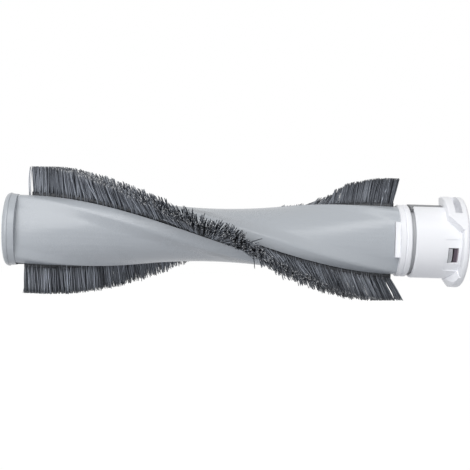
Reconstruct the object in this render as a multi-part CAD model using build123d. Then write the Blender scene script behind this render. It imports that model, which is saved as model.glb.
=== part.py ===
from build123d import *
from math import cos, pi, radians, sin
import os

# Brush roller of a stick vacuum's floor head. Millimetres. X is the spin axis, from the drive end at
# x = 0 to the outer face of the end cap, Z is up, and a polar angle of 0 faces -Y and 90 faces +Z.

# Lengths along the spin axis
flange_width = 2.4
body_length = 174.9
collar_width = 5.0
cap_gap = 1.6
cap_length = 23.3

# Twisted body
body_radius = 15.7
body_half_thickness = 12.1
land_half_angle = 28.0
crease_round = 3.0
core_radius = 8.0
twist_length = 316.0
front_station = 93.5
shoulder_radius = 16.2
shoulder_width = 2.8
shoulder_taper = 0.2
shoulder_step = 0.4
shoulder_drop = 0.3

# Helical slots for the brush strips
slot_neck_width = 4.8
slot_head_width = 8.2
slot_head_height = 2.0
slot_floor_radius = 10.9

# Brush strips
strip_clearance = 0.15
strip_top_depth = 1.2
tip_radius = 28.8
tip_width = 6.8
bristle_lead_a = 7.1
bristle_lead_b = 6.5
bristle_end_gap = 1.7
tuft_spacing = 1.95
tuft_slit = 0.35
tuft_root_height = 1.6
tuft_sink = 0.3

# Set that use has put into the rows: share of the row's length, then the tips' offset along the axis
# and round it, as shares of a tuft's length
row_set_a = (
    (0.0, 0.0, 0.04),
    (0.1, -0.08, 0.03),
    (0.2, -0.28, 0.03),
    (0.42, -0.22, 0.08),
    (0.52, 0.24, 0.28),
    (0.58, 0.17, 0.28),
    (0.65, 0.17, 0.06),
    (0.78, 0.26, 0.03),
    (1.0, 0.44, 0.0),
)
row_set_b = (
    (0.0, 0.06, 0.06),
    (0.3, 0.13, 0.19),
    (0.5, 0.13, 0.36),
    (0.7, 0.2, 0.42),
    (0.76, 0.39, 0.57),
    (0.82, 0.35, 0.5),
    (0.87, 0.21, 0.27),
    (0.93, 0.19, 0.17),
    (1.0, 0.17, 0.06),
)

# Drive end cap
flange_radius = 16.5
flange_round = 2.0
flange_back_round = 0.3
spigot_length = 17.0
spigot_clearance = 0.03
drive_bore_radius = 5.0
drive_bore_depth = 14.0
spline_count = 3
spline_width = 1.8
spline_depth = 1.2
drive_lug_length = 3.0
drive_lug_height = 2.6
drive_lug_half_angle = 20.0
lug_clearance = 0.1

# White collar on the far end of the body
collar_radius = 16.5
collar_groove = 0.5
collar_edge = 0.5
collar_rim_wall = 1.3
collar_recess_depth = 2.6
collar_hub_length = 12.0
boss_radius = 5.0
tongue_length = 2.2
tongue_width = 16.0
tongue_rise = 1.1
tongue_seat_depth = 1.7
tongue_angle = 1.6
tongue_clearance = 0.15

# Stub axle, thrust washer and circlip
axle_radius = 3.0
axle_tail = 2.4
axle_fit = 0.02
washer_width = 0.5
washer_radius = 4.2
circlip_width = 0.7
circlip_radius = 4.7
circlip_groove_depth = 0.5
circlip_mouth = 3.4

# Ball bearing
bearing_radius = 7.5
bearing_width = 5.0
ball_radius = 1.2
ball_count = 7
race_clearance = 0.02
race_shoulder = 0.75
cage_thickness = 0.6
cage_margin = 0.45
cage_clearance = 0.1
shield_thickness = 0.3
shield_inset = 0.2
shield_clearance = 0.15

# Bearing sleeve that stays still inside the cover
sleeve_clearance = 0.2
sleeve_wall = 1.6
sleeve_length = 9.8
sleeve_inset = 0.5
skirt_wall = 1.4
skirt_overlap = 1.6
running_gap = 0.4
web_thickness = 2.4
hub_wall = 2.1
hub_lead = 1.3
seat_depth = 3.3
seal_radius = 8.4
seal_width = 2.0
seal_gap = 0.15

# Key rail on top of the sleeve
rail_gap = 0.5
rail_drop = 0.15
rail_bar_half_angle = 30.0

# White end cap cover
cover_radius = 16.9
cover_wall = 1.25
cover_edge = 0.5
end_wall = 2.5
rim_radius = 20.8
rim_width = 2.9
rim_round = 1.2
keyway_half_angle = 22.0
grip_width = 9.3
grip_low_angle = 35.0
grip_toe_angle = 16.0
grip_back_angle = 100.0
grip_round = 0.6
pocket_front = 6.0
pocket_back = 2.8
pocket_round = 3.1
pocket_low_angle = 39.0
pocket_end_wall = 5.0
pocket_sink = 0.35
lug_half_angle = 40.0
lug_start_half_angle = 14.0
lug_start = 6.6
lug_crest = 4.4
lug_foot = 1.0
window_start = 8.75
window_end = 4.0
window_top_angle = -9.5
window_low_angle = -36.0
panel_start = 10.1
panel_top_angle = 4.0
panel_low_angle = -50.0
panel_depth = 0.35
hook_gap = 0.3
hook_length = 1.85
hook_rise = 0.9
hook_toe = 0.35

# Felt ring against the end wall of the cover
felt_ring_width = 3.4
felt_ring_bore = 11.0
felt_ring_fit = 0.05

# Stations along the spin axis
flange_end = flange_width
body_end = flange_end + body_length
collar_end = body_end + collar_width
cap_start = collar_end + cap_gap
cap_end = cap_start + cap_length
bearing_start = cap_start + seat_depth
bearing_end = bearing_start + bearing_width
bearing_middle = bearing_start + bearing_width / 2
circlip_start = bearing_end + washer_width
axle_start = body_end - collar_hub_length
shoulder_end = flange_end + shoulder_width + shoulder_step
felt_ring_end = cap_end - end_wall
axle_end = circlip_start + circlip_width + axle_tail

# Radii that follow from the fits
cover_bore = cover_radius - cover_wall
sleeve_radius = cover_bore - sleeve_clearance
sleeve_bore = sleeve_radius - sleeve_wall
recess_radius = collar_radius - collar_rim_wall
skirt_radius = recess_radius - running_gap
hub_radius = bearing_radius + hub_wall
pitch_radius = (axle_radius + bearing_radius) / 2
groove_radius = ball_radius + race_clearance
inner_shoulder = pitch_radius - race_shoulder * ball_radius
outer_shoulder = pitch_radius + race_shoulder * ball_radius
spigot_radius = core_radius - spigot_clearance

twist_rate = 360 / twist_length


def row_angle(x):
    """Polar angle that the first brush row faces at station x."""
    return twist_rate * (front_station - x)


def turned(*points):
    """Ring turned about the spin axis from a closed outline of (x, radius) points."""
    return revolve(Plane.XZ * make_face(Polyline(*points, close=True)), Axis.X)


def ring(x_start, x_end, inner, outer):
    return turned((x_start, inner), (x_end, inner), (x_end, outer), (x_start, outer))


def disc(x_start, x_end, radius):
    return turned((x_start, 0), (x_end, 0), (x_end, radius), (x_start, radius))


def sector(profile, low_angle, high_angle):
    """Part of a turned ring between two polar angles, from a face of (x, radius) points."""
    return Rot(90 - high_angle, 0, 0) * revolve(Plane.XZ * profile, Axis.X, high_angle - low_angle)


def block(x_start, x_end, inner, outer):
    """Face of a rectangle in (x, radius), to be turned."""
    middle = ((x_start + x_end) / 2, (inner + outer) / 2)
    return Pos(*middle) * Rectangle(x_end - x_start, outer - inner)


def facing(x, polar_angle):
    """Location at station x whose Z axis points outwards at the polar angle."""
    return Pos(x, 0, 0) * Rot(90 - polar_angle, 0, 0)


def twisted(section, x_start, x_end):
    """Section with the brush row along its +Y, run along the axis with the body's twist."""
    angle = radians(row_angle(x_start))
    plane = Plane((x_start, 0, 0), x_dir=(0, sin(angle), cos(angle)), z_dir=(1, 0, 0))
    run = x_end - x_start
    face = (plane * section).face()
    return Solid.extrude_linear_with_rotation(face, (x_start, 0, 0), (run, 0, 0), run * twist_rate)


def degrees_of(arc_length, radius):
    return arc_length / radius * 180 / pi


def upright(width, bottom, top):
    """Rectangle in the section, centred on the brush row, from one radius to another."""
    return Pos(0, (bottom + top) / 2) * Rectangle(width, top - bottom)


def body_section():
    crease_x = body_radius * sin(radians(land_half_angle))
    crease_y = body_radius * cos(radians(land_half_angle))
    outline = Curve() + [
        ThreePointArc((-crease_x, crease_y), (0, body_radius), (crease_x, crease_y)),
        ThreePointArc((crease_x, crease_y), (body_half_thickness, 0), (crease_x, -crease_y)),
        ThreePointArc((crease_x, -crease_y), (0, -body_radius), (-crease_x, -crease_y)),
        ThreePointArc((-crease_x, -crease_y), (-body_half_thickness, 0), (-crease_x, crease_y)),
    ]
    lens = make_face(outline)
    lens = fillet(lens.vertices(), crease_round)
    slot_shoulder = slot_floor_radius + slot_head_height
    slot = upright(slot_head_width, slot_floor_radius, slot_shoulder)
    slot += upright(slot_neck_width, slot_shoulder - strip_clearance, body_radius + slot_head_height)
    return lens - slot - Rot(0, 0, 180) * slot - Circle(core_radius)


def roller_body():
    body = twisted(body_section(), flange_end, body_end)
    body += turned(
        (flange_end, core_radius),
        (flange_end, shoulder_radius),
        (flange_end + shoulder_width, shoulder_radius - shoulder_taper),
        (shoulder_end, body_half_thickness - shoulder_drop),
        (shoulder_end, core_radius),
    )
    lug_room = block(
        flange_end - lug_clearance,
        flange_end + drive_lug_length + lug_clearance,
        core_radius - drive_lug_height,
        core_radius + drive_lug_height + lug_clearance,
    )
    half_angle = drive_lug_half_angle + degrees_of(lug_clearance, core_radius)
    seat = body_half_thickness - tongue_seat_depth
    tongue_room = Box(
        tongue_length + 2 * tongue_clearance,
        tongue_width + 2 * tongue_clearance,
        body_radius,
        align=(Align.MAX, Align.CENTER, Align.MIN),
    )
    for side in (90, -90):
        drive_angle = row_angle(flange_end) + side
        body -= sector(lug_room, drive_angle - half_angle, drive_angle + half_angle)
        room_place = facing(body_end + tongue_clearance, tongue_angle + side + 90)
        body -= room_place * Pos(0, 0, seat) * tongue_room
    return body


def strip_backing():
    head_bottom = slot_floor_radius + strip_clearance
    head_top = slot_floor_radius + slot_head_height - strip_clearance
    top = body_radius - strip_top_depth
    section = upright(slot_head_width - 2 * strip_clearance, head_bottom, head_top)
    section += upright(slot_neck_width - 2 * strip_clearance, head_bottom, top)
    return twisted(section, shoulder_end + strip_clearance, body_end - strip_clearance)


def tip_offset(row_set, share):
    """Offset of the tips along and round the axis, read between the lines of a row's set."""
    for (low, *low_offset), (high, *high_offset) in zip(row_set, row_set[1:]):
        if share <= high:
            part = (share - low) / (high - low)
            return [start + part * (end - start) for start, end in zip(low_offset, high_offset)]


def tuft(x, length, row_set, share):
    """Tapered tuft whose tip stands off the radial line by the row's set and keeps its length."""
    root_radius = body_radius + tuft_root_height - tuft_sink
    along, around = tip_offset(row_set, share)
    upward = (1 - along**2 - around**2) ** 0.5
    place = facing(x, row_angle(x)) * Pos(0, 0, root_radius)
    lean = (tip_radius - root_radius) * Vector(along, around, upward)
    root = place * Rectangle(length, row_width(root_radius))
    tip = place * Pos(lean) * Rectangle(length, tip_width)
    return loft([root, tip], ruled=True)


def row_width(radius):
    """Width of a bristle row, from the slot's neck to its tips."""
    root_width = slot_neck_width - 2 * strip_clearance
    return root_width + (tip_width - root_width) * (radius - body_radius) / (tip_radius - body_radius)


def bristle_row(lead, row_set):
    bottom = body_radius - strip_top_depth
    top = body_radius + tuft_root_height
    root_half = row_width(body_radius) / 2
    top_half = row_width(top) / 2
    outline = Polyline(
        (-root_half, bottom),
        (root_half, bottom),
        (root_half, body_radius),
        (top_half, top),
        (-top_half, top),
        (-root_half, body_radius),
        close=True,
    )
    row_start = flange_end + lead
    row_end = body_end - bristle_end_gap
    row = twisted(make_face(outline), row_start, row_end)
    tuft_count = round((row_end - row_start) / tuft_spacing)
    step = (row_end - row_start) / tuft_count
    tufts = []
    for index in range(tuft_count):
        share = (index + 0.5) / tuft_count
        tufts.append(tuft(row_start + share * (row_end - row_start), step - tuft_slit, row_set, share))
    return row + tufts


def half_turn(part):
    return Rot(180, 0, 0) * part


def drive_end_cap():
    profile = block(0, flange_width, 0, flange_radius)
    outer_corner = profile.vertices().sort_by(Axis.Y)[-2:].sort_by(Axis.X)[0]
    profile = fillet(outer_corner, flange_round)
    back_corner = profile.vertices().sort_by(Axis.Y)[-2:].sort_by(Axis.X)[-1]
    profile = fillet(back_corner, flange_back_round)
    cap = revolve(Plane.XZ * profile, Axis.X)
    spigot_end = flange_end + spigot_length
    cap += disc(flange_end, spigot_end, spigot_radius)
    lug = block(
        flange_end,
        flange_end + drive_lug_length,
        core_radius - drive_lug_height,
        core_radius + drive_lug_height,
    )
    for side in (90, -90):
        angle = row_angle(flange_end) + side
        cap += sector(lug, angle - drive_lug_half_angle, angle + drive_lug_half_angle)
    cap -= disc(-flange_round, drive_bore_depth, drive_bore_radius)
    spline = Box(
        drive_bore_depth + flange_round,
        spline_width,
        drive_bore_radius + spline_depth,
        align=(Align.MIN, Align.CENTER, Align.MIN),
    )
    for index in range(spline_count):
        cap -= facing(-flange_round, index * 360 / spline_count) * spline
    return cap


def end_collar():
    groove_x = body_end + collar_width / 2
    collar = turned(
        (body_end, 0),
        (body_end, collar_radius - collar_edge),
        (body_end + collar_edge, collar_radius),
        (groove_x - collar_groove, collar_radius),
        (groove_x, collar_radius - collar_groove),
        (groove_x + collar_groove, collar_radius),
        (collar_end - collar_edge, collar_radius),
        (collar_end, collar_radius - collar_edge),
        (collar_end, recess_radius),
        (collar_end - collar_recess_depth, recess_radius),
        (collar_end - collar_recess_depth, boss_radius),
        (bearing_start, boss_radius),
        (bearing_start, 0),
    )
    collar += disc(axle_start, body_end, spigot_radius)
    seat = body_half_thickness - tongue_seat_depth + tongue_clearance
    top = body_half_thickness + tongue_rise
    tongue = Box(
        tongue_length + collar_edge,
        tongue_width,
        top - seat,
        align=(Align.MIN, Align.CENTER, Align.MIN),
    )
    for side in (90, -90):
        place = facing(body_end - tongue_length, tongue_angle + side + 90)
        collar += place * Pos(0, 0, seat) * tongue
    return collar - disc(axle_start - collar_edge, bearing_start + collar_edge, axle_radius + axle_fit)


def stub_axle():
    axle = disc(axle_start, axle_end, axle_radius)
    axle = chamfer(axle.edges().filter_by(GeomType.CIRCLE), axle_radius / 8)
    groove_floor = axle_radius - circlip_groove_depth
    return axle - ring(circlip_start, circlip_start + circlip_width, groove_floor, 2 * axle_radius)


def thrust_washer():
    return ring(bearing_end, circlip_start, axle_radius + axle_fit, washer_radius)


def axle_circlip():
    inner = axle_radius - circlip_groove_depth + axle_fit
    clip = ring(circlip_start + axle_fit, circlip_start + circlip_width - axle_fit, inner, circlip_radius)
    seat = (Align.CENTER, Align.CENTER, Align.MIN)
    mouth = Box(2 * circlip_width, circlip_mouth, circlip_radius, align=seat)
    return clip - facing(circlip_start + circlip_width / 2, -90) * Pos(0, 0, inner / 2) * mouth


def race_groove():
    return Pos(bearing_middle, 0, 0) * Rot(0, 90, 0) * Torus(pitch_radius, groove_radius)


def bearing_inner_ring():
    return ring(bearing_start, bearing_end, axle_radius + axle_fit, inner_shoulder) - race_groove()


def bearing_outer_ring():
    outer = ring(bearing_start, bearing_end, outer_shoulder, bearing_radius) - race_groove()
    return outer - shield_room(bearing_start) - shield_room(bearing_end)


def shield_seat_radius():
    return (outer_shoulder + bearing_radius) / 2


def shield_room(face_x):
    depth = shield_inset + shield_thickness
    return ring(face_x - depth, face_x + depth, outer_shoulder - shield_inset, shield_seat_radius())


def bearing_shield(x_start):
    inner = inner_shoulder + shield_clearance
    return ring(x_start, x_start + shield_thickness, inner, shield_seat_radius() - race_clearance)


def ball_places():
    return [facing(bearing_middle, index * 360 / ball_count) for index in range(ball_count)]


def bearing_balls():
    ball = Pos(0, 0, pitch_radius) * Sphere(ball_radius)
    return Compound(children=[place * ball for place in ball_places()])


def bearing_cage():
    half_width = ball_radius + cage_clearance + cage_margin
    cage = ring(
        bearing_middle - half_width,
        bearing_middle + half_width,
        pitch_radius - cage_thickness / 2,
        pitch_radius + cage_thickness / 2,
    )
    pocket = Cylinder(ball_radius + cage_clearance, ball_radius)
    return cage - [place * Pos(0, 0, pitch_radius) * pocket for place in ball_places()]


def felt_seal():
    seal_start = cap_start + sleeve_inset - hub_lead
    return ring(seal_start, seal_start + seal_width, boss_radius + seal_gap, seal_radius - axle_fit)


def bearing_sleeve():
    web_start = cap_start + sleeve_inset
    web_end = web_start + web_thickness
    sleeve_end = cap_start + sleeve_length
    hub_start = web_start - hub_lead
    lip_radius = outer_shoulder + shield_inset
    hook_start = cap_end - window_start + hook_gap
    hook_end = hook_start + hook_length
    side_gap = degrees_of(hook_gap, cover_bore)
    finger_low = window_low_angle + side_gap
    finger_top = window_top_angle - side_gap
    sleeve = ring(web_start, web_end, hub_radius - hub_wall / 2, sleeve_radius)
    sleeve += ring(web_start, hook_end, sleeve_bore, sleeve_radius)
    open_end = block(sleeve_end, hook_end + hook_gap, sleeve_bore / 2, cover_radius)
    sleeve -= sector(open_end, finger_top, 180 - finger_top)
    sleeve -= sector(open_end, -180 - finger_low, finger_low)
    sleeve += ring(collar_end - skirt_overlap, web_end, skirt_radius - skirt_wall, skirt_radius)
    sleeve += ring(hub_start, bearing_end, lip_radius, hub_radius)
    sleeve -= ring(bearing_start, bearing_end + axle_fit, lip_radius / 2, bearing_radius + axle_fit)
    sleeve -= ring(hub_start - axle_fit, hub_start + seal_width, lip_radius / 2, seal_radius)
    nose = Polyline(
        (hook_start, sleeve_radius - sleeve_wall / 2),
        (hook_start, sleeve_radius + hook_rise),
        (hook_end, sleeve_radius + hook_toe),
        (hook_end, sleeve_radius - sleeve_wall / 2),
        close=True,
    )
    hook = sector(make_face(nose), finger_low, finger_top)
    return sleeve + hook + mirror(hook, Plane.XZ)


def key_rail():
    """Rail in the keyway on top of the cover, seated on the sleeve, with a cross bar in the gap."""
    rail_start = collar_end + running_gap
    rail_end = cap_end - grip_width - sleeve_clearance
    rail_top = cover_radius - rail_drop
    rail = block(rail_start, rail_end, sleeve_radius, rail_top)
    bar = block(rail_start, cap_start - running_gap / 2, sleeve_radius, rail_top)
    half_angle = keyway_half_angle - degrees_of(rail_gap, cover_radius)
    cross_bar = sector(bar, 90 - rail_bar_half_angle, 90 + rail_bar_half_angle)
    return sector(rail, 90 - half_angle, 90 + half_angle) + cross_bar


def slant_cut(corner_x, corner_angle, toe_angle):
    """Room below a slanted side that runs from a corner on the rim radius down to the rim's near face."""
    radial = Vector(0, -cos(radians(corner_angle)), sin(radians(corner_angle)))
    toe_radial = Vector(0, -cos(radians(toe_angle)), sin(radians(toe_angle)))
    corner = Vector(corner_x, 0, 0) + rim_radius * radial
    edge = Vector(cap_end - rim_width, 0, 0) + rim_radius * toe_radial - corner
    slant = Plane(corner, x_dir=edge, z_dir=edge.cross(radial))
    size = 4 * rim_radius
    return slant * Box(size, size, size / 2, align=(Align.CENTER, Align.CENTER, Align.MIN))


def thumb_grip():
    """Thumb grip on top of the cover, cut slantwise at its lower side."""
    profile = block(cap_end - grip_width, cap_end - rim_width / 2, cover_bore + cover_wall / 2, rim_radius)
    crest = profile.vertices().sort_by(Axis.Y)[-2:].sort_by(Axis.X)[0]
    profile = fillet(crest, grip_round)
    grip = sector(profile, grip_toe_angle, grip_back_angle)
    return grip - slant_cut(cap_end - grip_width, grip_low_angle, grip_toe_angle)


def finger_pocket():
    """Room between the grip's wall and the rim, open to the inside and curved up to the rim."""
    floor_radius = cover_bore - pocket_sink
    profile = block(cap_end - pocket_front, cap_end - pocket_back, floor_radius, 2 * rim_radius)
    rim_corner = profile.vertices().sort_by(Axis.Y)[:2].sort_by(Axis.X)[-1]
    profile = fillet(rim_corner, pocket_round)
    return sector(profile, pocket_low_angle, grip_back_angle - pocket_end_wall)


def rim_lug():
    """Lug below the cover, opposite the grip, with both of its sides slanted."""
    outline = Polyline(
        (cap_end - lug_start, cover_bore + cover_wall / 2),
        (cap_end - lug_start, cover_radius + lug_foot),
        (cap_end - lug_crest, rim_radius),
        (cap_end - rim_width / 2, rim_radius),
        (cap_end - rim_width / 2, cover_bore + cover_wall / 2),
        close=True,
    )
    lug = sector(make_face(outline), -90 - lug_half_angle, -90 + lug_half_angle)
    above = slant_cut(cap_end - lug_start, 90 - lug_start_half_angle, 90 - lug_half_angle)
    above = Rot(180, 0, 0) * above
    return lug - above - mirror(above, Plane.XZ)


def end_cap_cover():
    rim_start = cap_end - rim_width
    rim_profile = block(rim_start, cap_end, 0, rim_radius)
    rim_profile = fillet(rim_profile.vertices().sort_by(Axis.Y)[-2:], rim_round)
    cover = revolve(Plane.XZ * rim_profile, Axis.X)
    cover += turned(
        (cap_start, 0),
        (cap_start, cover_radius - cover_edge),
        (cap_start + cover_edge, cover_radius),
        (cap_end - rim_width / 2, cover_radius),
        (cap_end - rim_width / 2, 0),
    )
    cover += rim_lug()
    pocket = finger_pocket()
    cover -= pocket
    cover += thumb_grip() - pocket
    cover -= disc(cap_start - cover_edge, cap_end - end_wall, cover_bore)
    keyway = block(cap_start - cover_edge, cap_end - grip_width, cover_bore / 2, rim_radius)
    cover -= sector(keyway, 90 - keyway_half_angle, 90 + keyway_half_angle)
    panel = block(cap_end - panel_start, rim_start, cover_radius - panel_depth, rim_radius)
    window = block(cap_end - window_start, cap_end - window_end, cover_bore / 2, rim_radius)
    opening = sector(panel, panel_low_angle, panel_top_angle)
    opening += sector(window, window_low_angle, window_top_angle)
    return cover - opening - mirror(opening, Plane.XZ)


def end_felt():
    return ring(felt_ring_end - felt_ring_width, felt_ring_end, felt_ring_bore, cover_bore - felt_ring_fit)


pieces = {
    "roller_body": roller_body(),
    "drive_end_cap": drive_end_cap(),
    "end_collar": end_collar(),
    "stub_axle": stub_axle(),
    "thrust_washer": thrust_washer(),
    "axle_circlip": axle_circlip(),
    "bearing_inner_ring": bearing_inner_ring(),
    "bearing_outer_ring": bearing_outer_ring(),
    "bearing_balls": bearing_balls(),
    "bearing_cage": bearing_cage(),
    "bearing_shield_inboard": bearing_shield(bearing_start + shield_inset),
    "bearing_shield_outboard": bearing_shield(bearing_end - shield_inset - shield_thickness),
    "felt_seal": felt_seal(),
    "bearing_sleeve": bearing_sleeve(),
    "key_rail": key_rail(),
    "end_cap_cover": end_cap_cover(),
    "end_felt": end_felt(),
}
backing = strip_backing()
pieces["strip_backing_a"] = backing
pieces["strip_backing_b"] = half_turn(backing)
pieces["bristles_a"] = bristle_row(bristle_lead_a, row_set_a)
pieces["bristles_b"] = half_turn(bristle_row(bristle_lead_b, row_set_b))

os.makedirs("parts", exist_ok=True)
for name, piece in pieces.items():
    export_step(piece, f"parts/{name}.step")
    print(name, round(piece.volume, 1))
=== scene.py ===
import bpy
import numpy as np
from math import cos, pi, radians, sin
from mathutils import Matrix, Vector


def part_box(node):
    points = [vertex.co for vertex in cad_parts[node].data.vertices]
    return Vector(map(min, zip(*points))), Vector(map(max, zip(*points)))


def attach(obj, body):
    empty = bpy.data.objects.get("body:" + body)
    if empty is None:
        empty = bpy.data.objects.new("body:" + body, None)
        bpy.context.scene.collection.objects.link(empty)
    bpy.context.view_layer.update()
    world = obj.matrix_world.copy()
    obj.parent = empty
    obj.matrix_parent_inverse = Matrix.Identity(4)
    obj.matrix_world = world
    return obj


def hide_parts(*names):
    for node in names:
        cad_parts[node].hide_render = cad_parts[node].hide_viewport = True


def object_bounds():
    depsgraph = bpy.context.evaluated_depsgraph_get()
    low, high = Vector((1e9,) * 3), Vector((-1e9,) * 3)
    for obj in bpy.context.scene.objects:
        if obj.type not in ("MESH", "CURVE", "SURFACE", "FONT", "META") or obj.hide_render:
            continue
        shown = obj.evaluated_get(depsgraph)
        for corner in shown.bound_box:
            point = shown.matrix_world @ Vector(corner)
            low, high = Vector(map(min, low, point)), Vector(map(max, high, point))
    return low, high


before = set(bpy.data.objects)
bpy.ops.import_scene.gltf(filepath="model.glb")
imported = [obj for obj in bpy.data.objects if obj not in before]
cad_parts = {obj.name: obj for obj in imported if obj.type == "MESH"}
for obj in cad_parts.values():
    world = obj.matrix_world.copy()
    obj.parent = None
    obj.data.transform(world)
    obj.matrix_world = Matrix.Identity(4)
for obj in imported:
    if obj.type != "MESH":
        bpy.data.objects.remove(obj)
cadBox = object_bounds()
print("frame loaded")


# small helpers for node trees

unit = (0.0, 1.0)


def addNode(tree, kind, **settings):
    node = tree.nodes.new(kind)
    for key, value in settings.items():
        setattr(node, key, value)
    return node


def setInputs(node, **values):
    for key, value in values.items():
        node.inputs[key].default_value = value


# a socket takes a link from another node, or else a plain value
def feed(tree, socket, term):
    if isinstance(term, bpy.types.NodeSocket):
        tree.links.new(term, socket)
    else:
        socket.default_value = term


def newMaterial(name):
    material = bpy.data.materials.new(name)
    material.use_nodes = True
    return material, material.node_tree, material.node_tree.nodes["Principled BSDF"]


def objectCoords(tree):
    return addNode(tree, "ShaderNodeTexCoord").outputs["Object"]


def splitCoords(tree, coords):
    place = addNode(tree, "ShaderNodeSeparateXYZ")
    tree.links.new(coords, place.inputs["Vector"])
    return place.outputs


def stretchCoords(tree, coords, scale):
    stretch = addNode(tree, "ShaderNodeMapping")
    setInputs(stretch, Scale=scale)
    tree.links.new(coords, stretch.inputs["Vector"])
    return stretch.outputs["Vector"]


def noiseLayer(tree, vector, scale, detail, rough=0.5, distortion=0.0):
    noise = addNode(tree, "ShaderNodeTexNoise")
    setInputs(noise, Detail=detail, Roughness=rough, Distortion=distortion)
    feed(tree, noise.inputs["Scale"], scale)
    tree.links.new(vector, noise.inputs["Vector"])
    return noise.outputs["Fac"]


def mathNode(tree, operation, *terms):
    node = addNode(tree, "ShaderNodeMath", operation=operation)
    for socket, term in zip(node.inputs, terms):
        feed(tree, socket, term)
    return node.outputs[0]


def remap(tree, value, source, target):
    ramp = addNode(tree, "ShaderNodeMapRange")
    for key, limit in zip(("From Min", "From Max", "To Min", "To Max"), (*source, *target)):
        ramp.inputs[key].default_value = limit
    tree.links.new(value, ramp.inputs["Value"])
    return ramp.outputs["Result"]


# colours come as tuples of three or from another node
def mixColours(tree, factor, first, second, blend="MIX"):
    mix = addNode(tree, "ShaderNodeMix", data_type="RGBA", blend_type=blend)
    feed(tree, mix.inputs[0], factor)
    for socket, colour in zip((mix.inputs[6], mix.inputs[7]), (first, second)):
        feed(tree, socket, (*colour, 1.0) if isinstance(colour, tuple) else colour)
    return mix.outputs[2]


def bumpFrom(tree, height, strength, distance, under=None):
    bump = addNode(tree, "ShaderNodeBump")
    setInputs(bump, Strength=strength, Distance=distance)
    tree.links.new(height, bump.inputs["Height"])
    if under:
        tree.links.new(under, bump.inputs["Normal"])
    return bump.outputs["Normal"]


# camera of the product shot: nearly square on, a touch turned and rolled
cameraView = {
    "aim": Vector((0.1035, 0.0, 0.0003)),
    "distance": 0.503,
    "yaw": radians(3.0),
    "roll": radians(1.68),
    "focalPixels": 1100.0,
    "framePixels": 470.0,
    "sensor": 36.0,
    "clipStart": 0.01,
}


def placeCamera(v):
    forward = Vector((sin(v["yaw"]), cos(v["yaw"]), 0.0))
    side = Vector((cos(v["yaw"]), -sin(v["yaw"]), 0.0))
    up = Vector((0.0, 0.0, 1.0))
    right = cos(v["roll"]) * side + sin(v["roll"]) * up
    top = cos(v["roll"]) * up - sin(v["roll"]) * side
    turn = Matrix((right, top, -forward)).transposed()
    bpy.ops.object.camera_add(location=v["aim"] - v["distance"] * forward, rotation=turn.to_euler())
    camera = bpy.context.object
    camera.data.sensor_width = v["sensor"]
    camera.data.lens = v["sensor"] * v["focalPixels"] / v["framePixels"]
    camera.data.clip_start = v["clipStart"]
    bpy.context.scene.camera = camera


placeCamera(cameraView)
print("camera placed")

# studio: white sweep and even light all round, a tall softbox at the front left
# and a small one above the right end
studio = {
    "ambient": 0.41,
    "backdrop": (1.0, 1.0, 1.0, 1.0),
    "backdropStrength": 1.0,
    "floorDrop": 0.14,
    "floorSize": 8.0,
    "floorGrey": (0.60, 0.61, 0.64),
    "floorWhite": (1.0, 1.0, 1.0),
    "floorRough": 0.9,
    "floorGlow": 0.96,
    "glowStrength": 1.03,
    "softboxes": (
        {"place": (-0.26, -0.74, 0.34), "aim": (0.10, 0.0, 0.0), "size": (0.55, 1.1), "power": 5.9},
        {"place": (0.232, -0.55, 0.58), "aim": (0.155, 0.0, 0.0), "size": (0.18, 0.28), "power": 0.85},
    ),
}


def cameraMask(tree):
    path = addNode(tree, "ShaderNodeLightPath")
    seen = mathNode(tree, "MAXIMUM", path.outputs["Is Camera Ray"], path.outputs["Is Glossy Ray"])
    return mathNode(tree, "MAXIMUM", seen, path.outputs["Is Transmission Ray"])


def buildWorld(v):
    world = bpy.data.worlds.new("studioWorld")
    world.use_nodes = True
    bpy.context.scene.world = world
    tree = world.node_tree
    strength = remap(tree, cameraMask(tree), unit, (v["ambient"], v["backdropStrength"]))
    tree.links.new(strength, tree.nodes["Background"].inputs["Strength"])
    setInputs(tree.nodes["Background"], Color=v["backdrop"])


# grey to the light it throws back, near white to the camera, and it keeps the shadow
def floorMaterial(v):
    material, tree, shader = newMaterial("paleFloor")
    mask = cameraMask(tree)
    tree.links.new(mixColours(tree, mask, v["floorGrey"], v["floorWhite"]), shader.inputs["Base Color"])
    setInputs(shader, Roughness=v["floorRough"])
    shader.inputs["Specular IOR Level"].default_value = 0.0
    glow = addNode(tree, "ShaderNodeEmission")
    setInputs(glow, Strength=v["glowStrength"])
    blend = addNode(tree, "ShaderNodeMixShader")
    tree.links.new(remap(tree, mask, unit, (0.0, v["floorGlow"])), blend.inputs["Fac"])
    tree.links.new(shader.outputs["BSDF"], blend.inputs[1])
    tree.links.new(glow.outputs["Emission"], blend.inputs[2])
    tree.links.new(blend.outputs["Shader"], tree.nodes["Material Output"].inputs["Surface"])
    return material


def buildStudio(v):
    bpy.context.scene.view_settings.view_transform = "Standard"
    buildWorld(v)

    bpy.ops.object.select_all(action="DESELECT")
    lowest = cadBox[0][2]
    middle = (cadBox[0][0] + cadBox[1][0]) / 2
    bpy.ops.mesh.primitive_plane_add(size=v["floorSize"], location=(middle, 0.0, lowest - v["floorDrop"]))
    floor = bpy.context.object
    floor.name = "floor"
    bpy.ops.object.transform_apply(location=True, rotation=True, scale=True)
    floor.data.materials.append(floorMaterial(v))

    for box in v["softboxes"]:
        aim = Vector(box["aim"]) - Vector(box["place"])
        turn = aim.to_track_quat("-Z", "Y").to_euler()
        bpy.ops.object.light_add(type="AREA", location=box["place"], rotation=turn)
        lamp = bpy.context.object.data
        lamp.shape = "RECTANGLE"
        lamp.size, lamp.size_y = box["size"]
        lamp.energy = box["power"]


buildStudio(studio)
print("studio built")

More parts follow.
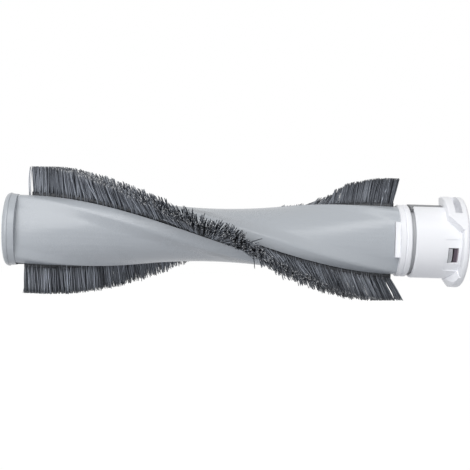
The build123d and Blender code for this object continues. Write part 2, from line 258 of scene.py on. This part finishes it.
# spark-eroded mould grain: fine bump, broad tone, a change of gloss and ripples drawn out along the part
mouldMarks = {
    "grainDetail": 3.0, "grainRough": 0.6, "grainDepth": 0.00004,
    "flowDetail": 4.0, "flowRough": 0.55, "flowDistortion": 0.6, "flowSpan": (0.3, 0.7),
    "rippleScale": (6.0, 150.0, 150.0), "rippleDetail": 2.0, "rippleDepth": 0.0004,
    "glossGrain": 0.5, "glossSpan": (0.4, 1.1),
}


def buildMouldGrain(v):
    group = bpy.data.node_groups.new("mouldGrain", "ShaderNodeTree")
    face = group.interface
    face.new_socket("Vector", in_out="INPUT", socket_type="NodeSocketVector")
    for name in ("Grain Scale", "Flow Scale"):
        face.new_socket(name, in_out="INPUT", socket_type="NodeSocketFloat")
    for name in ("Height", "Tone", "Gloss", "Ripple"):
        face.new_socket(name, in_out="OUTPUT", socket_type="NodeSocketFloat")
    entry = addNode(group, "NodeGroupInput").outputs
    leave = addNode(group, "NodeGroupOutput").inputs
    coords = entry["Vector"]
    grain = noiseLayer(group, coords, entry["Grain Scale"], v["grainDetail"], v["grainRough"])
    flow = noiseLayer(
        group, coords, entry["Flow Scale"], v["flowDetail"], v["flowRough"], v["flowDistortion"])
    ripple = noiseLayer(group, stretchCoords(group, coords, v["rippleScale"]), 1.0, v["rippleDetail"])
    group.links.new(grain, leave["Height"])
    group.links.new(remap(group, flow, v["flowSpan"], unit), leave["Tone"])
    group.links.new(mathNode(group, "MULTIPLY_ADD", grain, v["glossGrain"], flow), leave["Gloss"])
    group.links.new(ripple, leave["Ripple"])
    return group


mouldGrain = buildMouldGrain(mouldMarks)


# the body's flanks are scooped a little towards the slots: height grows along the section's long axis
def slotLip(tree, coords, v):
    place = splitCoords(tree, coords)
    rate = 2 * pi / v["twistLength"]
    angle = mathNode(tree, "MULTIPLY_ADD", place["X"], -rate, v["frontStation"] * rate)
    acrossY = mathNode(tree, "MULTIPLY", place["Y"], mathNode(tree, "COSINE", angle))
    acrossZ = mathNode(tree, "MULTIPLY", place["Z"], mathNode(tree, "SINE", angle))
    outward = mathNode(tree, "ABSOLUTE", mathNode(tree, "SUBTRACT", acrossZ, acrossY))
    rise = remap(tree, outward, v["span"], unit)
    rise.node.interpolation_type = "SMOOTHSTEP"
    return bumpFrom(tree, rise, 1.0, v["rise"])


def mouldedPlastic(name, v):
    marks = mouldMarks
    material, tree, shader = newMaterial(name)
    coords = objectCoords(tree)
    group = addNode(tree, "ShaderNodeGroup", node_tree=mouldGrain)
    group.inputs["Grain Scale"].default_value = v["grainScale"]
    group.inputs["Flow Scale"].default_value = v["flowScale"]
    tree.links.new(coords, group.inputs["Vector"])
    grain = group.outputs
    tree.links.new(mixColours(tree, grain["Tone"], v["dark"], v["light"]), shader.inputs["Base Color"])
    rough = remap(tree, grain["Gloss"], marks["glossSpan"], (v["smooth"], v["rough"]))
    tree.links.new(rough, shader.inputs["Roughness"])
    lip = slotLip(tree, coords, v["lip"]) if "lip" in v else None
    ripple = bumpFrom(tree, grain["Ripple"], v["ripple"], marks["rippleDepth"], lip)
    fine = bumpFrom(tree, grain["Height"], v["grain"], marks["grainDepth"], ripple)
    tree.links.new(fine, shader.inputs["Normal"])
    return material


twist = {"twistLength": 0.316, "frontStation": 0.0935}
greyFinish = {
    "dark": (0.397, 0.424, 0.456), "light": (0.417, 0.444, 0.476), "smooth": 0.22, "rough": 0.32,
    "grainScale": 2400.0, "flowScale": 22.0, "grain": 0.22, "ripple": 0.9,
}
capPlastic = mouldedPlastic("capPlastic", greyFinish)
bodyPlastic = mouldedPlastic("bodyPlastic", {
    **greyFinish, "lip": {**twist, "span": (0.009, 0.0165), "rise": 0.0016},
})
whitePlastic = mouldedPlastic("whitePlastic", {
    "dark": (0.885, 0.895, 0.925), "light": (0.905, 0.915, 0.945), "smooth": 0.32, "rough": 0.44,
    "grainScale": 2800.0, "flowScale": 30.0, "grain": 0.14, "ripple": 0.1,
})
sleevePlastic = mouldedPlastic("sleevePlastic", {
    "dark": (0.455, 0.465, 0.485), "light": (0.49, 0.50, 0.52), "smooth": 0.38, "rough": 0.52,
    "grainScale": 2400.0, "flowScale": 40.0, "grain": 0.2, "ripple": 0.1,
})
railPlastic = mouldedPlastic("railPlastic", {
    "dark": (0.205, 0.210, 0.222), "light": (0.235, 0.241, 0.252), "smooth": 0.4, "rough": 0.55,
    "grainScale": 2400.0, "flowScale": 60.0, "grain": 0.2, "ripple": 0.1,
})
stripPlastic = mouldedPlastic("stripPlastic", {
    "dark": (0.030, 0.031, 0.034), "light": (0.042, 0.043, 0.047), "smooth": 0.45, "rough": 0.6,
    "grainScale": 2400.0, "flowScale": 60.0, "grain": 0.2, "ripple": 0.1,
})

# turned and ground steel: rings of fine lines round the spin axis
turnedLines = {"detail": 3.0, "span": (0.3, 0.7), "bump": 0.12, "depth": 0.00003}


def turnedSteel(name, v):
    material, tree, shader = newMaterial(name)
    coords = stretchCoords(tree, objectCoords(tree), (v["lines"], v["along"], v["along"]))
    lines = noiseLayer(tree, coords, 1.0, v["detail"])
    tree.links.new(mixColours(tree, lines, v["dark"], v["light"]), shader.inputs["Base Color"])
    tree.links.new(remap(tree, lines, v["span"], (v["smooth"], v["rough"])), shader.inputs["Roughness"])
    tree.links.new(bumpFrom(tree, lines, v["bump"], v["depth"]), shader.inputs["Normal"])
    setInputs(shader, Metallic=1.0)
    return material


axleSteel = turnedSteel("axleSteel", {
    **turnedLines, "lines": 9000.0, "along": 300.0,
    "dark": (0.50, 0.50, 0.51), "light": (0.62, 0.62, 0.63), "smooth": 0.22, "rough": 0.38,
})
bearingSteel = turnedSteel("bearingSteel", {
    **turnedLines, "lines": 14000.0, "along": 500.0,
    "dark": (0.52, 0.53, 0.54), "light": (0.66, 0.66, 0.67), "smooth": 0.12, "rough": 0.26,
})


# pressed wool felt, mauve with pale hairs, with painted shade along the edge that faces the roller
def pressedFelt(name, v):
    material, tree, shader = newMaterial(name)
    coords = objectCoords(tree)
    hairs = noiseLayer(tree, coords, v["hairScale"], v["hairDetail"], v["hairRough"])
    # painted shade: the felt is darkened to a near black mauve over its first 1.3 to 1.9 mm along X
    paintedShadeEdge = [v["start"] + width for width in v["paintedShadeWidth"]]
    outsidePaintedShade = remap(tree, splitCoords(tree, coords)["X"], paintedShadeEdge, unit)
    wool = mixColours(tree, hairs, v["dark"], v["light"])
    tree.links.new(mixColours(tree, outsidePaintedShade, v["paintedShade"], wool), shader.inputs["Base Color"])
    rough = remap(tree, hairs, v["hairSpan"], (v["smooth"], v["rough"]))
    tree.links.new(rough, shader.inputs["Roughness"])
    tree.links.new(bumpFrom(tree, hairs, v["bump"], v["depth"]), shader.inputs["Normal"])
    return material


sealFelt = pressedFelt("sealFelt", {
    "dark": (0.28, 0.23, 0.26), "light": (0.50, 0.44, 0.48), "smooth": 0.8, "rough": 0.98,
    "hairScale": 1500.0, "hairDetail": 6.0, "hairRough": 0.7, "hairSpan": (0.3, 0.7),
    "bump": 0.6, "depth": 0.0003,
    # the near black mauve and its widths give the painted shade at the felt's edge
    "start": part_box("end_felt")[0][0], "paintedShade": (0.105, 0.083, 0.105), "paintedShadeWidth": (0.0013, 0.0019),
})


# nylon: tone differs from strand to strand, painted shade darkens the root and the tip, and painted glints
# brighten some cut ends
def nylonFilament(name, v):
    material, tree, shader = newMaterial(name)
    tone, span, paintedGlint = [
        addNode(tree, "ShaderNodeAttribute", attribute_name=mark).outputs["Fac"]
        for mark in ("filamentTone", "filamentSpan", "filamentPaintedGlint")
    ]
    # painted shade along the filament: the curve darkens it at the root and, less, at the tip
    shade = addNode(tree, "ShaderNodeFloatCurve")
    curve = shade.mapping.curves[0]
    for level in v["paintedSpanShade"][1:-1]:
        curve.points.new(*level)
    curve.points[0].location = v["paintedSpanShade"][0]
    curve.points[-1].location = v["paintedSpanShade"][-1]
    shade.mapping.update()
    tree.links.new(span, shade.inputs["Value"])
    base = mixColours(tree, tone, v["dark"], v["light"])
    shaded = mixColours(tree, 1.0, base, shade.outputs["Value"], "MULTIPLY")
    paintedGlintMask = mathNode(tree, "MULTIPLY", remap(tree, span, v["paintedGlintSpan"], unit), paintedGlint)
    tree.links.new(mixColours(tree, paintedGlintMask, shaded, v["cut"]), shader.inputs["Base Color"])
    tree.links.new(remap(tree, tone, unit, (v["rough"], v["smooth"])), shader.inputs["Roughness"])
    return material


bristleNylon = nylonFilament("bristleNylon", {
    "dark": (0.044, 0.050, 0.064), "light": (0.52, 0.56, 0.63), "rough": 0.5, "smooth": 0.34,
    # the pale cut colour is a painted glint on the cut ends of some filaments
    "cut": (0.62, 0.63, 0.64), "paintedGlintSpan": (0.93, 1.0),
    "paintedSpanShade": ((0.0, 0.3), (0.18, 0.65), (0.4, 1.0), (0.68, 0.95), (1.0, 0.5)),
})
print("materials made")

nodeFinish = {
    "roller_body": bodyPlastic, "drive_end_cap": capPlastic,
    "end_collar": whitePlastic, "end_cap_cover": whitePlastic,
    "bearing_sleeve": sleevePlastic, "key_rail": railPlastic,
    "strip_backing_a": stripPlastic, "strip_backing_b": stripPlastic,
    "bristles_a": stripPlastic, "bristles_b": stripPlastic,
    "stub_axle": axleSteel, "thrust_washer": axleSteel, "axle_circlip": axleSteel,
    "bearing_inner_ring": bearingSteel, "bearing_outer_ring": bearingSteel,
    "bearing_balls": bearingSteel, "bearing_cage": bearingSteel,
    "bearing_shield_inboard": bearingSteel, "bearing_shield_outboard": bearingSteel,
    "felt_seal": sealFelt, "end_felt": sealFelt,
}
for nodeName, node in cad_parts.items():
    node.material_slots[0].material = nodeFinish[nodeName]
print("nodes dressed")

# one filament, modelled upright with a length of 1 and a radius of 1
filamentShape = {"sides": 3, "bends": 5, "tipTaper": 0.86}


def modelFilament(v):
    bpy.ops.object.select_all(action="DESELECT")
    bpy.ops.mesh.primitive_circle_add(vertices=v["sides"], radius=1.0, fill_type="NOTHING")
    filament = bpy.context.object
    filament.name = "filamentPattern"
    bpy.ops.object.mode_set(mode="EDIT")
    bpy.ops.mesh.select_all(action="SELECT")
    taper = v["tipTaper"] ** (1.0 / v["bends"])
    for bend in range(v["bends"]):
        bpy.ops.mesh.extrude_edges_move(TRANSFORM_OT_translate={"value": (0.0, 0.0, 1.0 / v["bends"])})
        bpy.ops.transform.resize(value=(taper, taper, 1.0))
    bpy.ops.mesh.edge_face_add()
    bpy.ops.mesh.select_all(action="SELECT")
    bpy.ops.mesh.normals_make_consistent(inside=False)
    bpy.ops.object.mode_set(mode="OBJECT")
    points = np.array([tuple(p.co) for p in filament.data.vertices])
    faces = [tuple(face.vertices) for face in filament.data.polygons]
    bpy.data.objects.remove(filament)
    return points, faces


pattern, patternFaces = modelFilament(filamentShape)
print("filament modelled")

# a brush row: filaments set in tufts along the helix of the slot
brushRow = {
    **twist,
    "leads": {"a": 0.0071, "b": 0.0065},
    "endGap": 0.0017,
    # heights and widths
    "rootRadius": 0.0148,
    "bendRadius": 0.017,
    "tipRadius": 0.0288,
    "rootHalf": 0.0021,
    "tipHalf": 0.0033,
    "thickness": 0.00023,
    "cutSpread": 0.0002,
    # tufts, each a block of filaments in two strands
    "tuftPitch": 0.00195,
    "columns": 6,
    "layers": 7,
    "strands": 2,
    "jitter": (0.1, 0.9),
    "rootFill": 0.8,
    "tipFill": 1.28,
    "fanRate": 2.2,
    # lean of strands by share of the row's length, then of single hairs
    "strandLean": {
        "a": ((0.0, 0.35, 0.55, 0.75, 0.95, 1.0), (0.02, 0.035, 0.065, 0.05, 0.045, 0.08)),
        "b": ((0.0, 1.0), (0.02, 0.03)),
    },
    "hairLean": 0.02,
    "leanLimit": 0.8,
    "hairBow": 0.00022,
    "bowTurn": 3.1,
    # tones from dark to pale, with painted shade and painted light along the rows
    "tones": (0.44, 0.6, 0.74, 1.0),
    "toneShares": (0.2, 0.35, 0.33, 0.12),
    "toneSpread": 0.07,
    "paintedEdgeShade": 0.6,
    # painted light and shade along each row: tones scaled by share of its length, darker towards the right
    # end
    "paintedLightDrift": {
        "a": ((0.0, 0.3, 0.55, 0.75, 1.0), (0.98, 0.9, 1.2, 0.6, 0.7)),
        "b": ((0.0, 1.0), (1.2, 0.48)),
    },
    "paintedGlintShare": 0.28,
    "paintedGlintRange": (0.4, 1.0),
    # strays, the worn and frayed ends, and loose hairs by station, lean and sway
    "strayShare": 0.012,
    "strayFrom": 0.7,
    "strayLean": 0.15,
    "frayedEnd": {"a": 0.004, "b": 0.0},
    "frayedShare": 0.5,
    "sparseEnd": {"a": 0.0017, "b": 0.0},
    "sparseShare": 0.1,
    "sparsePale": 0.5,
    "looseHairs": {"a": ((0.1082, 0.5, 0.37), (0.1108, 0.0, -0.13)), "b": ()},
    "loosePull": 1000.0,
    # moulded root
    "stripBottom": 0.0145,
    "stripTop": 0.0171,
    "stripHalf": 0.0021,
    "stripStations": 150,
}
# set of the rows: share of the length, then the tips' offset along the axis and round it
rowSets = {
    "a": ((0.0, 0.1, 0.2, 0.42, 0.52, 0.58, 0.65, 0.78, 1.0),
          (0.0, -0.08, -0.28, -0.22, 0.24, 0.17, 0.17, 0.26, 0.44),
          (0.04, 0.03, 0.03, 0.08, 0.28, 0.28, 0.06, 0.03, 0.0)),
    "b": ((0.0, 0.3, 0.5, 0.7, 0.76, 0.82, 0.87, 0.93, 1.0),
          (0.06, 0.13, 0.13, 0.2, 0.39, 0.35, 0.21, 0.19, 0.17),
          (0.06, 0.19, 0.36, 0.42, 0.57, 0.5, 0.27, 0.17, 0.06)),
}


# place on the twisted row: station along the axis, distance out from it and offset round it
def twistPlace(station, along, out, around, phase, v):
    angle = (2 * pi / v["twistLength"]) * (v["frontStation"] - station) + phase
    outY, outZ = -np.cos(angle), np.sin(angle)
    return np.stack((along, outY * out + outZ * around, outZ * out - outY * around), axis=-1).reshape(-1, 3)


# moulded root that the filaments stand in
def rootStrip(start, end, phase, v):
    stations = np.repeat(np.linspace(start, end, v["stripStations"]), 4)
    out = np.tile((v["stripBottom"], v["stripTop"], v["stripTop"], v["stripBottom"]), v["stripStations"])
    around = np.tile((-v["stripHalf"], -v["stripHalf"], v["stripHalf"], v["stripHalf"]), v["stripStations"])
    points = twistPlace(stations, stations, out, around, phase, v)
    last = len(points) - 4
    faces = [(0, 1, 2, 3)]
    for ring in range(0, last, 4):
        for corner in range(4):
            after = (corner + 1) % 4
            faces.append((ring + corner, ring + 4 + corner, ring + 4 + after, ring + after))
    faces.append((last + 3, last + 2, last + 1, last))
    return points, faces


# where each filament of a row stands, how it leans and how pale it is
def plantRow(letter, start, end, tufts, seed, v):
    rng = np.random.default_rng(seed)
    tuft, column, layer = [grid.ravel() for grid in np.meshgrid(
        np.arange(tufts), np.arange(v["columns"]), np.arange(v["layers"]), indexing="ij")]
    count = len(tuft)
    # strands of a tuft lean together, those on the near side apart from those on the far side
    nearSide = (2 * layer >= v["layers"]).astype(int)
    strand = (tuft * v["strands"] + column * v["strands"] // v["columns"]) * 2 + nearSide
    strands = tufts * v["strands"] * 2
    inTuft = (column + rng.uniform(*v["jitter"], count)) / v["columns"] - 0.5
    across = 2.0 * (layer + rng.uniform(*v["jitter"], count)) / v["layers"] - 1.0
    rootX = start + (tuft + 0.5 + inTuft * v["rootFill"]) * (end - start) / tufts
    share = (rootX - start) / (end - start)

    shares, alongSet, aroundSet = rowSets[letter]
    setLean = np.interp(share, shares, alongSet)
    setSway = np.interp(share, shares, aroundSet)
    ragged = np.interp(share, *v["strandLean"][letter])
    lean = setLean + ragged * rng.normal(0.0, 1.0, strands)[strand]
    lean += rng.normal(0.0, v["hairLean"], count)
    sway = setSway + ragged * rng.normal(0.0, 1.0, strands)[strand]
    sway += rng.normal(0.0, v["hairLean"], count)
    bowAlong, bowAround = rng.normal(0.0, v["hairBow"], (2, strands))[:, strand]

    tone = rng.choice(v["tones"], strands, p=v["toneShares"])[strand]
    # painted shade: filaments at a strand's edges are made darker than those at its centre
    inStrand = (inTuft + 0.5) * v["strands"] % 1.0 - 0.5
    tone = tone + rng.normal(0.0, v["toneSpread"], count) - v["paintedEdgeShade"] * np.abs(2.0 * inStrand)
    # painted light and shade along the row
    tone *= np.interp(share, *v["paintedLightDrift"][letter])
    # painted glints: a share of the filaments are given pale cut ends
    paintedGlint = (rng.random(count) < v["paintedGlintShare"]) * rng.uniform(*v["paintedGlintRange"], count)
    stray = (rng.random(count) < v["strayShare"]) & (np.abs(across) > v["strayFrom"])
    lean += stray * rng.normal(0.0, v["strayLean"], count)
    tone[stray] = 1.0
    for place, hairLean, hairSway in v["looseHairs"][letter]:
        loose = np.argmax(np.sign(hairSway) * across - v["loosePull"] * np.abs(rootX - place))
        lean[loose], sway[loose], tone[loose] = hairLean, hairSway, 0.0
        setLean[loose], setSway[loose] = hairLean, hairSway

    # only a few pale filaments are left at the worn end of the row
    worn = rootX < start + v["sparseEnd"][letter]
    tone[worn] += v["sparsePale"]
    kept = ~worn | (rng.random(count) < v["sparseShare"])
    frayed = rootX > end - v["frayedEnd"][letter]
    kept &= ~frayed | (rng.random(count) < v["frayedShare"])
    tone = np.clip(tone, 0.0, 1.0)
    # neighbours are cut to one height, so it follows the row's set and not the single strand's lean
    upward = np.sqrt(1.0 - np.clip(setLean ** 2 + setSway ** 2, 0.0, v["leanLimit"]))
    free = v["tipRadius"] - v["bendRadius"] - np.abs(rng.normal(0.0, v["cutSpread"], count))
    hairs = {
        "rootX": rootX, "inTuft": inTuft, "across": across, "lean": lean, "sway": sway, "upward": upward,
        "free": free, "bowAlong": bowAlong, "bowAround": bowAround, "tone": tone, "paintedGlint": paintedGlint,
    }
    return {name: values[kept] for name, values in hairs.items()}


# points of every filament: its centre line out, along and round, then its thickness
def shapeHairs(hairs, pitch, phase, v):
    h = {name: values[:, None] for name, values in hairs.items()}
    t = pattern[:, 2]
    depth = v["bendRadius"] - v["rootRadius"]
    reach = t * (depth + h["free"]) - depth
    bent = np.maximum(reach, 0.0) / h["free"]
    out = v["bendRadius"] + np.where(reach > 0.0, reach * h["upward"], reach)
    wave = np.sin(v["bowTurn"] * t)
    fan = np.minimum(v["fanRate"] * bent, 1.0) * (v["tipFill"] - v["rootFill"]) * pitch
    along = h["rootX"] + h["inTuft"] * fan + h["lean"] * h["free"] * bent + h["bowAlong"] * wave
    spread = v["rootHalf"] + (v["tipHalf"] - v["rootHalf"]) * t
    around = h["across"] * spread + h["sway"] * h["free"] * bent + h["bowAround"] * wave
    along += pattern[:, 0] * v["thickness"]
    around += pattern[:, 1] * v["thickness"]
    return twistPlace(h["rootX"], along, out, around, phase, v)


def growRow(letter, phase, seed, v):
    low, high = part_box("roller_body")
    start = low[0] + v["leads"][letter]
    end = high[0] - v["endGap"]
    tufts = int(round((end - start) / v["tuftPitch"]))
    hairs = plantRow(letter, start, end, tufts, seed, v)
    hairPoints = shapeHairs(hairs, (end - start) / tufts, phase, v)
    points, faces = rootStrip(start + v["sparseEnd"][letter], end, phase, v)
    for first in range(len(points), len(points) + len(hairPoints), len(pattern)):
        faces += [tuple(corner + first for corner in face) for face in patternFaces]

    mesh = bpy.data.meshes.new("bristleRow_" + letter)
    mesh.from_pydata(np.concatenate((points, hairPoints)).tolist(), [], faces)
    mesh.polygons.foreach_set("use_smooth", np.ones(len(faces), dtype=bool))
    marks = {
        "filamentTone": np.repeat(hairs["tone"], len(pattern)),
        "filamentSpan": np.tile(pattern[:, 2], len(hairs["tone"])),
        "filamentPaintedGlint": np.repeat(hairs["paintedGlint"], len(pattern)),
    }
    # the moulded root has none of the marks, so it takes the darkest tone and the full painted root shade
    for name, values in marks.items():
        markData = mesh.attributes.new(name, "FLOAT", "POINT").data
        markData.foreach_set("value", np.concatenate((np.zeros(len(points)), values)))
    mesh.validate()
    row = bpy.data.objects.new("bristleRow_" + letter, mesh)
    bpy.context.scene.collection.objects.link(row)
    mesh.materials.append(bristleNylon)
    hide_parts("bristles_" + letter)
    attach(row, "roller")
    print("row", letter, len(hairs["tone"]), "filaments")


growRow("a", 0.0, 11, brushRow)
growRow("b", np.pi, 23, brushRow)
print("brush rows grown")
